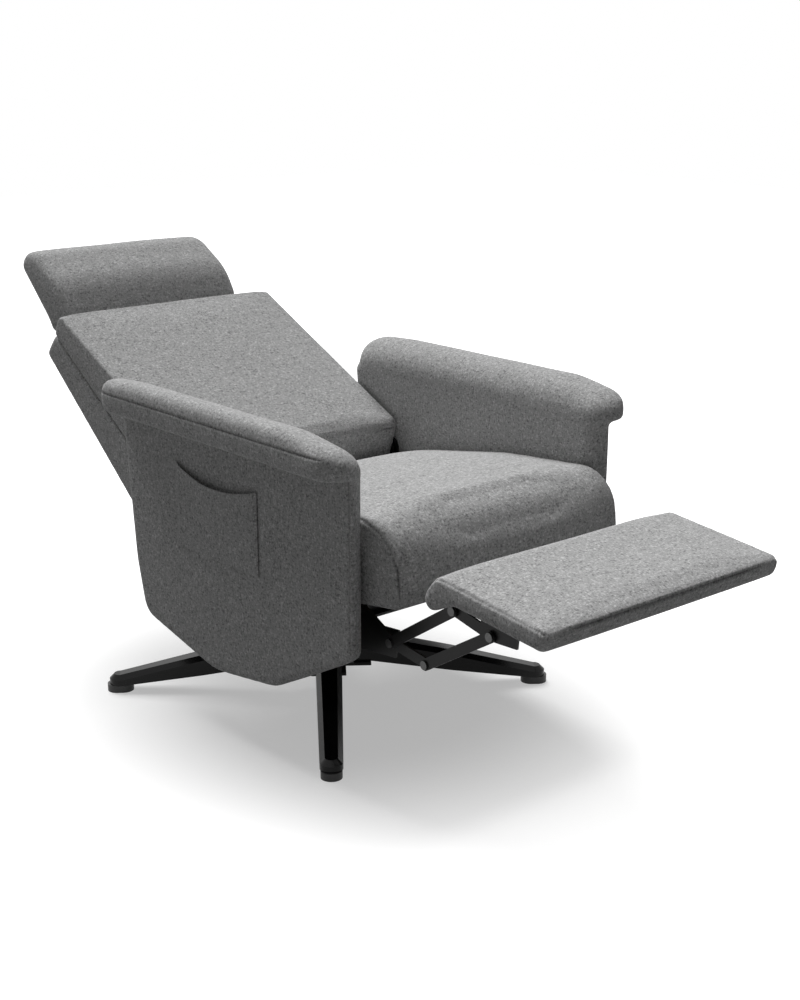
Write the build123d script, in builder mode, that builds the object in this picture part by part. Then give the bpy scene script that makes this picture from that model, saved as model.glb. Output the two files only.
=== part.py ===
from build123d import *
import os
from math import cos, hypot, radians, sin, tan

# Star base swivel recliner, shown fully reclined with its footrest out.
# Millimetres. +Z up, the sitter faces -Y, the sitter's left is +X.
# The origin is on the floor, under the swivel axis.

os.makedirs("parts", exist_ok=True)

# ---------------------------------------------------------------- clearances
soft_gap = 0.3          # between a soft piece and its neighbour
running = 0.1           # radial, a pin in its moving hole
snug = 0.05             # radial, a pin in the piece that carries it
over = 5.0              # how far a cut runs past the face it opens

# ---------------------------------------------------------------- star base
leg_count = 4
first_leg_angle = 52.5
glide_circle = 400.0    # radius of the circle through the glides
glide_width = 38.0
glide_length = 50.0
glide_height = 14.0
leg_root_width = 50.0
leg_tip_width = 41.0
leg_root_height = 50.0
leg_root_fall = 2.0
leg_tip_height = 20.0
leg_waist_reach = 240.0
leg_waist_low = 34.0
leg_waist_height = 39.0
leg_edge = 9.0          # chamfer along a leg's upper edges
hub_size = 96.0
hub_low = 58.0
hub_high = 118.0
hub_edge = 5.0
foot_plate_thickness = 6.0
foot_plate_reach = 34.0
foot_plate_width = 66.0
leg_bolt_radius = 4.0
leg_bolt_head = 5.0
hex_ratio = 1.7         # corner radius of a hexagon head over its bolt's radius

# ---------------------------------------------------------------- swivel
spindle_radius = 25.0
spindle_wall = 4.0
sleeve_wall = 5.0
thrust_washer_thickness = 4.0
swivel_plate_size = 280.0
swivel_plate_thickness = 5.0
swivel_plate_z = 178.0
swivel_plate_corner = 14.0
retainer_radius = 34.0
retainer_thickness = 4.0
retainer_plug = 12.0

# ---------------------------------------------------------------- widths (half widths, from the middle)
seat_half = 252.0
arm_gap = 6.0           # between the seat and an arm
arm_inner = seat_half + arm_gap
arm_thickness = 38.0
arm_roll_overhang = 50.0
back_inset = 4.0
back_half = seat_half - back_inset
headrest_inset = 44.0
headrest_half = seat_half - headrest_inset
footrest_overhang = 11.0
footrest_half = seat_half + footrest_overhang

# ---------------------------------------------------------------- mechanism frame
rail_width = 40.0
rail_height = 25.0
rail_wall = 2.0
rail_spread = 100.0     # each rail's distance from the swivel axis
arm_mount_size = 60.0
arm_mount_thickness = 4.0
arm_mount_corner = 6.0
mechanism_inset = 58.0
side_plate_inner = seat_half - mechanism_inset
side_plate_thickness = 4.0
side_plate_flange = 24.0
side_plate_flange_thickness = 3.0
side_plate_nose = [    # from the carrier link's pivot
    (-12.0, 3.0), (-14.0, -12.0), (-39.0, -30.0), (-92.0, -25.0), (-84.0, -75.0),
]
side_plate_top_lead = 4.0
side_plate_rear_inset = 6.0
side_plate_rear_rise = 30.0
mount_bolt_radius = 4.0

# ---------------------------------------------------------------- seat
seat_pitch = 8.5        # the seat falls towards the back
seat_heel = (70.0, 262.0)
seat_depth = 583.0
seat_thickness = 146.0
seat_crown = 13.0
seat_swell = 8.0         # the top is this much fuller over its middle than at its ends
seat_front_bulge = 16.0
seat_front_radius = 80.0
seat_rail_width = 42.0
seat_rail_height = 26.0
seat_frame_inset = 30.0
strap_width = 50.0
strap_thickness = 2.0
seat_strap_count = 5

# ---------------------------------------------------------------- back
back_pivot = (114.0, 412.0)
back_angle = 25.7       # front face above the horizontal
back_length = 490.0
back_front = 65.0       # front face above the pivot
back_cushion_top = 45.0
back_seam_angle = 8.0   # the seam plane leans from the front face by this
back_heel_drop = 30.0
back_lower_fall = 62.0
shell_top_thickness = 54.0
shell_bottom_thickness = 102.0
shell_bottom_slant = 39.0
shell_edge_lean = 5.0
back_frame_start = 40.0
back_frame_overrun = 10.0
back_frame_end = back_length + back_frame_overrun
back_rail_width = 45.0
back_rail_thickness = 26.0
back_strap_count = 4
leaf_thickness = 4.0
leaf_radius = 19.0
leaf_reach = 95.0
pivot_pin_radius = 6.0
pivot_collar_radius = 12.0
pivot_pin_inside = 10.0
hinge_plate_drop = 95.0
hinge_plate_lean = 10.0
hinge_plate_edge = 4.0

# ---------------------------------------------------------------- headrest
headrest_hinge_rise = 27.0
headrest_angle = 43.0
headrest_start = 15.0
headrest_rear = 34.0   # the pad's rear face lies this far behind its hinge
headrest_length = 189.0
headrest_thickness = 86.0
headrest_foot_thickness = 68.0
headrest_shoulder_thickness = 62.0
headrest_top_thickness = 42.0
headrest_crown = 8.0
headrest_top_fall = 28.0
headrest_front_reach = 49.0
headrest_board_thickness = 12.0
headrest_board_depth = 14.0
headrest_board_inset = 20.0
headrest_bracket_inset = 75.0
headrest_bracket_x = headrest_half - headrest_bracket_inset
bracket_thickness = 4.0
bracket_width = 24.0
bracket_foot = 30.0
bracket_foot_thickness = 3.0
headrest_pin_radius = 5.0
pin_shoulder = 3.0
pin_head_height = 2.0

# ---------------------------------------------------------------- footrest
# Offsets of the footrest and its linkage are taken from the seat's lower front edge.
footrest_offset = (-98.4, 89.8)
footrest_angle = 6.1
footrest_length = 229.0
footrest_thickness = 29.0
footrest_crown = 10.0
footrest_lobe_reach = 30.0
footrest_lobe_drop = 64.0
footrest_board_thickness = 12.0
footrest_board_inset = 28.0
footrest_board_start = 42.0
footrest_board_end = 214.0
footrest_foot_start = 46.0
footrest_foot_end = 112.0
footrest_foot_width = 24.0
footrest_arm_end = 126.0

# ---------------------------------------------------------------- footrest linkage (side view)
carrier_offset = (158.6, -35.2)
crossing_offset = (70.6, -79.2)
knee_offset = (-14.4, -91.2)
rear_bracket_offset = (-77.4, 16.8)
front_bracket_offset = (-161.4, -1.2)
link_radius = 9.5
link_thickness = 4.0
link_gap = 0.5
carrier_link_gap = 7.0
carrier_link_x = side_plate_inner + side_plate_thickness + carrier_link_gap
carrier_shaft_radius = 7.0
rivet_radius = 4.0
rivet_head_radius = 7.5
rivet_head_height = 2.5
open_pivot_play = 2.5   # radial, where the linkage is left open

# ---------------------------------------------------------------- arms
arm_outline = [
    (-440.0, 556.0), (-438.0, 258.0), (-222.0, 146.0), (-46.0, 122.0),
    (178.0, 172.0), (202.0, 272.0), (233.0, 556.0),
]
arm_outline_radii = [4.0, 14.0, 70.0, 160.0, 40.0, 120.0, 4.0]
roll_low = 556.0
roll_high = 626.0
roll_front = -448.0
roll_rear = 242.0
roll_end_fall = 26.0
roll_dip = 18.0           # the top sinks by this towards each end
roll_dip_reach = 115.0
arm_board_thickness = 18.0
arm_board_inset = 24.0
pocket_front = -195.0
pocket_rear = 50.0
pocket_low = 336.0
pocket_top_front = 487.0
pocket_top_rear = 493.0
pocket_dip = 470.0
pocket_depth = 10.0
pocket_sheet = 3.0

SIDES = (("right", -1), ("left", 1))


# ---------------------------------------------------------------- helpers
def save(piece, label):
    """Name a finished piece and write it."""
    piece.part.label = label
    export_step(piece.part, f"parts/{label}.step")


def side_plane(x, origin=(0.0, 0.0), angle=0.0):
    """Side view at X = x: its x axis rises by angle from +Y, its y axis is square to that."""
    along = (0, cos(radians(angle)), sin(radians(angle)))
    return Plane(origin=(x, origin[0], origin[1]), x_dir=along, z_dir=(1, 0, 0))


def band(sign, inner, outer):
    """Lowest X of the layer between two distances from the middle, on one side."""
    return inner if sign > 0 else -outer


def place(origin, angle, along, across):
    """Side-view point that lies (along, across) from origin in axes turned by angle."""
    c = cos(radians(angle))
    s = sin(radians(angle))
    return (origin[0] + along * c - across * s, origin[1] + along * s + across * c)


def locate(origin, angle, point):
    """The (along, across) of a side-view point in axes at origin turned by angle."""
    c = cos(radians(angle))
    s = sin(radians(angle))
    dy = point[0] - origin[0]
    dz = point[1] - origin[1]
    return (dy * c + dz * s, dz * c - dy * s)


def slab(x, thickness, origin, angle, points, radii=0.0):
    """Flat piece with a filleted side-view outline."""
    with BuildPart() as piece:
        with BuildSketch(side_plane(x, origin, angle)):
            with BuildLine():
                FilletPolyline(*points, radius=radii, close=True)
            make_face()
        extrude(amount=thickness)
    return piece


def board(x, width, origin, angle, low, high):
    """Rectangular board between two opposite corners of a side view."""
    with BuildPart() as piece:
        with BuildSketch(side_plane(x, origin, angle)):
            with Locations(((low[0] + high[0]) / 2, (low[1] + high[1]) / 2)):
                Rectangle(high[0] - low[0], high[1] - low[1])
        extrude(amount=width)
    return piece


def crowned(half_width, origin, angle, section, radii, steps=(-1, -0.93, -0.6, 0, 0.6, 0.93, 1)):
    """Stuffed form: side-view sections lofted across, fullest in the middle, drawn in at the sides."""
    with BuildPart() as piece:
        for step in steps:
            fullness = 1 - step**4
            with BuildSketch(side_plane(step * half_width, origin, angle)):
                with BuildLine():
                    FilletPolyline(*section(fullness), radius=radii, close=True)
                make_face()
        loft()
    return piece


def cut(piece, other):
    """Take one piece's space out of another."""
    with BuildPart() as result:
        add(piece.part)
        add(other.part, mode=Mode.SUBTRACT)
    return result


def link(x, stations, holes):
    """Flat bar through its pivots, with one hole for each."""
    with BuildPart() as piece:
        for start, end in zip(stations, stations[1:]):
            with BuildSketch(side_plane(x)):
                with Locations(start, end):
                    Circle(link_radius)
                make_hull()
            extrude(amount=link_thickness)
        for station, hole in zip(stations, holes):
            with BuildSketch(side_plane(x)):
                with Locations(station):
                    Circle(hole)
            extrude(amount=link_thickness, mode=Mode.SUBTRACT)
    return piece


def from_seat_front(offset):
    """Side-view point at an offset from the seat's lower front edge."""
    return place(place(seat_heel, -seat_pitch, -seat_depth, 0.0), 0.0, *offset)


def seat_underside(y):
    """Height of the seat's flat underside."""
    return seat_heel[1] - (y - seat_heel[0]) * tan(radians(seat_pitch))


footrest_edge = from_seat_front(footrest_offset)
carrier_pivot = from_seat_front(carrier_offset)
crossing_pivot = from_seat_front(crossing_offset)
knee_pivot = from_seat_front(knee_offset)
rear_bracket_pivot = from_seat_front(rear_bracket_offset)
front_bracket_pivot = from_seat_front(front_bracket_offset)

# ---------------------------------------------------------------- star base
leg_inner_end = hub_size / 2
foot_plate_half = hub_size / 2 + foot_plate_reach
leg_tip_low = glide_height


def leg_section(width, low, height):
    """Upright section across a leg, with its upper edges cut off."""
    half = width / 2
    return [
        (-half, low),
        (half, low),
        (half, low + height - leg_edge),
        (half - leg_edge, low + height),
        (leg_edge - half, low + height),
        (-half, low + height - leg_edge),
    ]


def star_leg(angle):
    """One leg: a tapering arm that falls to a rounded tip over its glide."""
    out = Vector(cos(radians(angle)), sin(radians(angle)), 0)
    across = Vector(-sin(radians(angle)), cos(radians(angle)), 0)
    stations = (
        (leg_inner_end, leg_root_width, hub_low, leg_root_height),
        (foot_plate_half, leg_root_width, hub_low, leg_root_height - leg_root_fall),
        (leg_waist_reach, (leg_root_width + leg_tip_width) / 2, leg_waist_low, leg_waist_height),
        (glide_circle, leg_tip_width, leg_tip_low, leg_tip_height),
    )
    with BuildPart() as leg:
        for reach, width, low, height in stations:
            with BuildSketch(Plane(origin=out * reach, x_dir=across, z_dir=out)):
                with BuildLine():
                    Polyline(*leg_section(width, low, height), close=True)
                make_face()
        loft(ruled=True)
        tip = out * glide_circle
        with BuildSketch(Plane(origin=(tip.X, tip.Y, leg_tip_low))):
            Circle(leg_tip_width / 2)
        extrude(amount=leg_tip_height - leg_edge)
        with BuildSketch(Plane(origin=(tip.X, tip.Y, leg_tip_low + leg_tip_height - leg_edge))):
            Circle(leg_tip_width / 2)
        with BuildSketch(Plane(origin=(tip.X, tip.Y, leg_tip_low + leg_tip_height))):
            Circle(leg_tip_width / 2 - leg_edge)
        loft()
    return leg


leg_angles = [first_leg_angle + 360 / leg_count * i for i in range(leg_count)]
for number, leg_angle in enumerate(leg_angles, 1):
    save(star_leg(leg_angle), f"star_leg_{number}")

with BuildPart() as glides:
    for leg_angle in leg_angles:
        centre = Location((0, 0, 0), (0, 0, leg_angle)) * Location((glide_circle, 0, 0))
        with BuildSketch(Plane(centre)):
            SlotOverall(glide_length, glide_width)
        extrude(amount=glide_height)
save(glides, "glides")

with BuildPart() as hub:
    with BuildSketch(Plane.XY.offset(hub_low)):
        Rectangle(hub_size, hub_size, rotation=first_leg_angle)
    extrude(amount=hub_high - hub_low)
    chamfer(hub.edges().group_by(Axis.Z)[-1], hub_edge)
    with Locations((0, 0, hub_high)):
        Hole(spindle_radius + snug)
save(hub, "hub")

bolt_reach = hub_size / 2 + foot_plate_reach / 2
with BuildPart() as foot_plate:
    with BuildSketch(Plane.XY.offset(hub_low - foot_plate_thickness)):
        Rectangle(2 * foot_plate_half, foot_plate_width, rotation=first_leg_angle)
        Rectangle(foot_plate_width, 2 * foot_plate_half, rotation=first_leg_angle)
        with PolarLocations(bolt_reach, leg_count, start_angle=first_leg_angle):
            Circle(leg_bolt_radius + snug, mode=Mode.SUBTRACT)
    extrude(amount=foot_plate_thickness)
save(foot_plate, "foot_plate")

with BuildPart() as leg_bolts:
    with BuildSketch(Plane.XY.offset(hub_low - foot_plate_thickness - leg_bolt_head)):
        with PolarLocations(bolt_reach, leg_count, start_angle=first_leg_angle):
            RegularPolygon(leg_bolt_radius * hex_ratio, 6)
    extrude(amount=leg_bolt_head)
    with BuildSketch(Plane.XY.offset(hub_low - foot_plate_thickness)):
        with PolarLocations(bolt_reach, leg_count, start_angle=first_leg_angle):
            Circle(leg_bolt_radius)
    extrude(amount=foot_plate_thickness)
save(leg_bolts, "leg_bolts")

# ---------------------------------------------------------------- swivel
spindle_top = swivel_plate_z + swivel_plate_thickness
with BuildPart() as spindle:
    with BuildSketch(Plane.XY.offset(hub_low)):
        Circle(spindle_radius)
        Circle(spindle_radius - spindle_wall, mode=Mode.SUBTRACT)
    extrude(amount=spindle_top - hub_low)
save(spindle, "spindle")

sleeve_radius = spindle_radius + running + sleeve_wall
with BuildPart() as thrust_washer:
    with BuildSketch(Plane.XY.offset(hub_high)):
        Circle(sleeve_radius)
        Circle(spindle_radius + snug, mode=Mode.SUBTRACT)
    extrude(amount=thrust_washer_thickness)
save(thrust_washer, "thrust_washer")

sleeve_low = hub_high + thrust_washer_thickness + running
with BuildPart() as swivel_plate:
    with BuildSketch(Plane.XY.offset(swivel_plate_z)):
        RectangleRounded(swivel_plate_size, swivel_plate_size, swivel_plate_corner)
    extrude(amount=swivel_plate_thickness)
    with BuildSketch(Plane.XY.offset(sleeve_low)):
        Circle(sleeve_radius)
    extrude(amount=swivel_plate_z - sleeve_low)
    with BuildSketch(Plane.XY.offset(sleeve_low)):
        Circle(spindle_radius + running)
    extrude(amount=spindle_top - sleeve_low, mode=Mode.SUBTRACT)
save(swivel_plate, "swivel_plate")

with BuildPart() as spindle_retainer:
    with BuildSketch(Plane.XY.offset(spindle_top + running)):
        Circle(retainer_radius)
    extrude(amount=retainer_thickness)
    with BuildSketch(Plane.XY.offset(spindle_top - retainer_plug)):
        Circle(spindle_radius - spindle_wall - snug)
    extrude(amount=retainer_plug + running)
save(spindle_retainer, "spindle_retainer")

# ---------------------------------------------------------------- mechanism frame
rail_low = swivel_plate_z + swivel_plate_thickness
rail_top = rail_low + rail_height
rail_half = arm_inner - soft_gap - arm_mount_thickness
for name, y in (("front", -rail_spread), ("rear", rail_spread)):
    with BuildPart() as cross_rail:
        with BuildSketch(side_plane(-rail_half)):
            with Locations((y, rail_low + rail_height / 2)):
                Rectangle(rail_width, rail_height)
                Rectangle(rail_width - 2 * rail_wall, rail_height - 2 * rail_wall, mode=Mode.SUBTRACT)
        extrude(amount=2 * rail_half)
    save(cross_rail, f"cross_rail_{name}")

with BuildPart() as arm_mount_plates:
    for side, sign in SIDES:
        with BuildSketch(side_plane(band(sign, rail_half, rail_half + arm_mount_thickness))):
            with Locations(
                (-rail_spread, rail_low + rail_height / 2), (rail_spread, rail_low + rail_height / 2)
            ):
                RectangleRounded(arm_mount_size, arm_mount_size, arm_mount_corner)
        extrude(amount=arm_mount_thickness)
save(arm_mount_plates, "arm_mount_plates")

# The side plates carry the seat's rails on their upper flange and stand on the cross rails.
plate_front_points = [(carrier_pivot[0] + y, carrier_pivot[1] + z) for y, z in side_plate_nose]
plate_rear = seat_heel[0] - side_plate_rear_inset
inner = side_plate_inner
web_top = -side_plate_flange_thickness
top_front = carrier_pivot[0] + side_plate_top_lead
flange_start, _ = locate(seat_heel, -seat_pitch, (top_front, seat_underside(top_front)))
flange_end = -side_plate_rear_inset - side_plate_thickness
for side, sign in SIDES:
    with BuildPart() as side_plate:
        outline = [
            (plate_rear, seat_underside(plate_rear)),
            (top_front, seat_underside(top_front)),
            *plate_front_points,
            (-rail_spread - rail_width, rail_top),
            (rail_spread + rail_width / 2, rail_top),
            (rail_spread + rail_width / 2, rail_top + side_plate_rear_rise),
        ]
        with BuildSketch(side_plane(band(sign, inner, inner + side_plate_thickness))):
            with BuildLine():
                Polyline(*outline, close=True)
            make_face()
            with Locations(carrier_pivot):
                Circle(carrier_shaft_radius + running, mode=Mode.SUBTRACT)
        extrude(amount=side_plate_thickness)
        with BuildSketch(side_plane(band(sign, inner - side_plate_flange, inner), seat_heel, -seat_pitch)):
            with Locations(((flange_start + flange_end) / 2, web_top / 2)):
                Rectangle(flange_end - flange_start, side_plate_flange_thickness)
        extrude(amount=side_plate_flange)
        with BuildSketch(side_plane(band(sign, inner - side_plate_flange, inner))):
            with Locations((0, rail_top + side_plate_flange_thickness / 2)):
                Rectangle(2 * rail_spread + rail_width, side_plate_flange_thickness)
        extrude(amount=side_plate_flange)
    save(side_plate, f"side_plate_{side}")

with BuildPart() as plate_bolts:
    for side, sign in SIDES:
        x = sign * (side_plate_inner - side_plate_flange / 2)
        with BuildSketch(Plane.XY.offset(rail_top + side_plate_flange_thickness)):
            with Locations((x, -rail_spread), (x, rail_spread)):
                RegularPolygon(mount_bolt_radius * hex_ratio, 6)
        extrude(amount=mount_bolt_radius)
save(plate_bolts, "plate_bolts")


# ---------------------------------------------------------------- seat
def seat_section(fullness):
    """Seat cushion outline, from its heel, in axes along its underside."""
    rise = seat_crown * fullness
    bulge = seat_front_bulge * fullness
    edge = 3.0 * (1 - fullness)
    return [
        (-edge, 0.0),
        (-edge, seat_thickness - 4.0 + rise / 2),
        (-130.0, seat_thickness + seat_swell + rise),
        (-350.0, seat_thickness + seat_swell + 2.0 + rise),
        (-seat_depth - bulge, seat_thickness - 3.0 + rise / 2),
        (-seat_depth - bulge / 2, 0.0),
    ]


seat_radii = [6.0, 26.0, 320.0, 320.0, seat_front_radius, 20.0]
seat_frame_half = seat_half - seat_frame_inset
frame_rear = -seat_frame_inset
frame_front = -seat_depth + seat_frame_inset + seat_rail_width / 2
seat_body = crowned(seat_half, seat_heel, -seat_pitch, seat_section, seat_radii)
seat_recess = board(
    -seat_frame_half - soft_gap,
    2 * seat_frame_half + 2 * soft_gap,
    seat_heel,
    -seat_pitch,
    (frame_front - soft_gap, -over),
    (frame_rear + soft_gap, seat_rail_height + strap_thickness + soft_gap),
)
save(cut(seat_body, seat_recess), "seat_cushion")

with BuildPart() as seat_side_rails:
    for side, sign in SIDES:
        rail_x = band(sign, seat_frame_half - seat_rail_width, seat_frame_half)
        with BuildSketch(side_plane(rail_x, seat_heel, -seat_pitch)):
            with Locations(((frame_front + frame_rear) / 2, seat_rail_height / 2)):
                Rectangle(frame_rear - frame_front, seat_rail_height)
        extrude(amount=seat_rail_width)
save(seat_side_rails, "seat_side_rails")

seat_cross_half = seat_frame_half - seat_rail_width
with BuildPart() as seat_cross_rails:
    with BuildSketch(side_plane(-seat_cross_half, seat_heel, -seat_pitch)):
        with Locations(
            (frame_front + seat_rail_width / 2, seat_rail_height / 2),
            (frame_rear - seat_rail_width / 2, seat_rail_height / 2),
        ):
            Rectangle(seat_rail_width, seat_rail_height)
    extrude(amount=2 * seat_cross_half)
save(seat_cross_rails, "seat_cross_rails")

strap_pitch = (frame_rear - frame_front - 2 * seat_rail_width) / seat_strap_count
with BuildPart() as seat_straps:
    for i in range(seat_strap_count):
        along = frame_front + seat_rail_width + strap_pitch * (i + 0.5)
        with BuildSketch(side_plane(-seat_frame_half, seat_heel, -seat_pitch)):
            with Locations((along, seat_rail_height + strap_thickness / 2)):
                Rectangle(strap_width, strap_thickness)
        extrude(amount=2 * seat_frame_half)
save(seat_straps, "seat_straps")

# ---------------------------------------------------------------- back
# The seam plane lies between cushion and shell. Its foot is the origin for the pieces behind it.
seam_angle = back_angle + back_seam_angle
seam_rise = (back_length + back_heel_drop) * tan(radians(back_seam_angle))
seam_foot_across = back_front - back_cushion_top - seam_rise
seam_foot = place(back_pivot, back_angle, -back_heel_drop, seam_foot_across)
seam_length = (back_length + back_heel_drop) / cos(radians(back_seam_angle))
hinge_along, hinge_across = locate(seam_foot, seam_angle, back_pivot)
leaf_end = (hinge_along + leaf_reach, -back_rail_thickness / 2 - strap_thickness)


def back_section(fullness):
    """Back cushion outline in axes along its front face, from the pivot."""
    rise = 7.0 * fullness
    edge = 2.5 * (1 - fullness)
    gap = 2 * soft_gap / cos(radians(back_seam_angle))
    return [
        (-2.0 + edge, back_front + rise),
        (back_length - edge, back_front + rise / 2),
        (back_length + 2.0 - edge, back_front - back_cushion_top + gap),
        (-back_heel_drop + edge, seam_foot_across + gap),
        (-14.0 + edge - rise / 2, back_front - back_lower_fall),
    ]


back_radii = [16.0, 10.0, 4.0, 8.0, 60.0]


def leaf_space(x, thickness, radius, pivot_only=False):
    """Room beside the back for a hinge leaf or its pin."""
    with BuildPart() as space:
        with BuildSketch(side_plane(x, seam_foot, seam_angle)):
            with Locations((hinge_along, hinge_across)):
                Circle(radius)
            if not pivot_only:
                with Locations(leaf_end):
                    Circle(radius)
                make_hull()
        extrude(amount=thickness)
    return space


leaf_outer = back_half
leaf_inner = back_half - leaf_thickness
back_cushion = crowned(back_half, back_pivot, back_angle, back_section, back_radii)
shell_outline = [
    (0.0, 0.0),
    (seam_length, 0.0),
    (seam_length + shell_edge_lean, -shell_top_thickness),
    (shell_bottom_slant, -shell_bottom_thickness),
]
back_shell = slab(-back_half, 2 * back_half, seam_foot, seam_angle, shell_outline, [6.0, 5.0, 16.0, 22.0])
frame_half = leaf_inner - soft_gap
frame_space = board(
    -leaf_inner,
    2 * leaf_inner,
    seam_foot,
    seam_angle,
    (back_frame_start - soft_gap, -back_rail_thickness - strap_thickness - soft_gap),
    (back_frame_end + soft_gap, over),
)
back_shell = cut(back_shell, frame_space)
for side, sign in SIDES:
    leaf_x = band(sign, leaf_inner - soft_gap, leaf_outer + over)
    leaf_room = leaf_space(leaf_x, leaf_thickness + soft_gap + over, leaf_radius + 1.0)
    pin_x = band(sign, leaf_inner - pivot_pin_inside - 1.0, leaf_inner)
    pin_room = leaf_space(pin_x, pivot_pin_inside + 1.0, pivot_pin_radius + 2.0, True)
    back_cushion = cut(cut(back_cushion, leaf_room), pin_room)
    back_shell = cut(back_shell, leaf_room)

for side, sign in SIDES:
    back_stile = board(
        band(sign, frame_half - back_rail_width, frame_half),
        back_rail_width,
        seam_foot,
        seam_angle,
        (back_frame_start, -back_rail_thickness - strap_thickness),
        (back_frame_end, -strap_thickness),
    )
    save(back_stile, f"back_stile_{side}")

back_cross_half = frame_half - back_rail_width
back_rail_middle = -back_rail_thickness / 2 - strap_thickness
with BuildPart() as back_cross_rails:
    with BuildSketch(side_plane(-back_cross_half, seam_foot, seam_angle)):
        with Locations(
            (back_frame_start + back_rail_width / 2, back_rail_middle),
            (back_frame_end - back_rail_width / 2, back_rail_middle),
        ):
            Rectangle(back_rail_width, back_rail_thickness)
    extrude(amount=2 * back_cross_half)
save(back_cross_rails, "back_cross_rails")

back_strap_pitch = (back_frame_end - back_frame_start - 2 * back_rail_width) / back_strap_count
with BuildPart() as back_straps:
    for i in range(back_strap_count):
        along = back_frame_start + back_rail_width + back_strap_pitch * (i + 0.5)
        with BuildSketch(side_plane(-frame_half, seam_foot, seam_angle)):
            with Locations((along, -strap_thickness / 2)):
                Rectangle(strap_width, strap_thickness)
        extrude(amount=2 * frame_half)
save(back_straps, "back_straps")

hinge_plate_x = arm_inner - soft_gap - leaf_thickness
hinge_plate_foot = (back_pivot[0] - hinge_plate_lean, back_pivot[1] - hinge_plate_drop)
for side, sign in SIDES:
    with BuildPart() as back_hinge_leaf:
        with BuildSketch(side_plane(band(sign, leaf_inner, leaf_outer), seam_foot, seam_angle)):
            with Locations((hinge_along, hinge_across), leaf_end):
                Circle(leaf_radius)
            make_hull()
            with Locations((hinge_along, hinge_across)):
                Circle(pivot_pin_radius + running, mode=Mode.SUBTRACT)
        extrude(amount=leaf_thickness)
    save(back_hinge_leaf, f"back_hinge_leaf_{side}")

    with BuildPart() as back_hinge_plate:
        with BuildSketch(side_plane(band(sign, hinge_plate_x, hinge_plate_x + leaf_thickness))):
            with Locations(back_pivot, hinge_plate_foot):
                Circle(leaf_radius + hinge_plate_edge)
            make_hull()
        extrude(amount=leaf_thickness)
    save(back_hinge_plate, f"back_hinge_plate_{side}")

pin_inner = leaf_inner - pivot_pin_inside
with BuildPart() as back_pivot_pins:
    for side, sign in SIDES:
        with BuildSketch(side_plane(band(sign, pin_inner, hinge_plate_x))):
            with Locations(back_pivot):
                Circle(pivot_pin_radius)
        extrude(amount=hinge_plate_x - pin_inner)
        with BuildSketch(side_plane(band(sign, leaf_outer + soft_gap, hinge_plate_x))):
            with Locations(back_pivot):
                Circle(pivot_collar_radius)
        extrude(amount=hinge_plate_x - leaf_outer - soft_gap)
save(back_pivot_pins, "back_pivot_pins")

# ---------------------------------------------------------------- headrest
headrest_hinge = place(back_pivot, back_angle, back_length + headrest_hinge_rise, 0.0)
hinge_seam = locate(seam_foot, seam_angle, headrest_hinge)
support_middle = -strap_thickness - back_rail_thickness / 2
for side, sign in SIDES:
    foot_x = sign * (headrest_bracket_x + bracket_thickness / 2)
    with BuildPart() as headrest_support:
        support_x = band(sign, headrest_bracket_x, headrest_bracket_x + bracket_thickness)
        with BuildSketch(side_plane(support_x, seam_foot, seam_angle)):
            with BuildLine():
                Polyline(
                    (back_frame_end, support_middle - bracket_width / 2),
                    (hinge_seam[0], hinge_seam[1] - bracket_width / 2),
                    (hinge_seam[0], hinge_seam[1] + bracket_width / 2),
                    (back_frame_end, support_middle + bracket_width / 2),
                    close=True,
                )
            make_face()
            with Locations(hinge_seam):
                Circle(bracket_width / 2)
                Circle(headrest_pin_radius + snug, mode=Mode.SUBTRACT)
        extrude(amount=bracket_thickness)
        with BuildSketch(side_plane(foot_x - bracket_foot / 2, seam_foot, seam_angle)):
            with Locations((back_frame_end + bracket_foot_thickness / 2, support_middle)):
                Rectangle(bracket_foot_thickness, bracket_width)
        extrude(amount=bracket_foot)
    save(headrest_support, f"headrest_support_{side}")

    slot_low = min(support_middle, hinge_seam[1]) - bracket_width / 2 - 1.0
    slot_high = max(support_middle, hinge_seam[1]) + bracket_width / 2 + 1.0
    support_slot = board(
        support_x - 1.0,
        bracket_thickness + 2.0,
        seam_foot,
        seam_angle,
        (back_frame_end - 1.0, slot_low),
        (seam_length + shell_edge_lean + over, slot_high),
    )
    foot_room = bracket_width / 2 + soft_gap
    foot_pocket = board(
        foot_x - bracket_foot / 2 - soft_gap,
        bracket_foot + 2 * soft_gap,
        seam_foot,
        seam_angle,
        (back_frame_end - 1.0, support_middle - foot_room),
        (back_frame_end + bracket_foot_thickness + soft_gap, support_middle + foot_room),
    )
    back_shell = cut(cut(back_shell, support_slot), foot_pocket)

save(back_cushion, "back_cushion")
save(back_shell, "back_shell")

moving_bracket_x = headrest_bracket_x + bracket_thickness + link_gap
with BuildPart() as headrest_pins:
    for side, sign in SIDES:
        pin_start = headrest_bracket_x - pin_shoulder
        pin_end = moving_bracket_x + bracket_thickness + pin_shoulder
        with BuildSketch(side_plane(band(sign, pin_start, pin_end))):
            with Locations(headrest_hinge):
                Circle(headrest_pin_radius)
        extrude(amount=pin_end - pin_start)
        for head_start in (pin_start - pin_head_height, pin_end):
            with BuildSketch(side_plane(band(sign, head_start, head_start + pin_head_height))):
                with Locations(headrest_hinge):
                    Circle(headrest_pin_radius + pin_shoulder)
            extrude(amount=pin_head_height)
save(headrest_pins, "headrest_pins")

headrest_board_start = headrest_start + headrest_board_inset
headrest_board_end = headrest_start + headrest_length - headrest_board_inset
headrest_board_half = headrest_half - headrest_board_inset
headrest_board_low = headrest_board_depth - headrest_rear


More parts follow.
